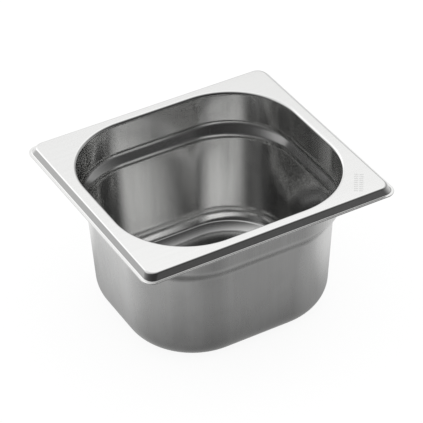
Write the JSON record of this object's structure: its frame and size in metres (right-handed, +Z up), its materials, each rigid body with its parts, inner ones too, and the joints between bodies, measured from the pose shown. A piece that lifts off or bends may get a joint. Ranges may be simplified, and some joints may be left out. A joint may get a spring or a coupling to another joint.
{
  "type": "food pan",
  "caption": "Deep rectangular steel food pan with rounded corners, a flat hanging rim, a stacking ledge below the mouth and a tapered well.",
  "frame": {"origin": "centre of the underside of the floor", "axes": "+Z up out of the mouth, X along the long side of the rim, Y along the short side"},
  "size_m": [0.176, 0.162, 0.1],
  "materials": {
    "stainless_sheet": "bright rolled sheet, satin where it was drawn"
  },
  "bodies": {
    "root": {"pan_shell": "stainless_sheet"}
  },
  "joints": []
}
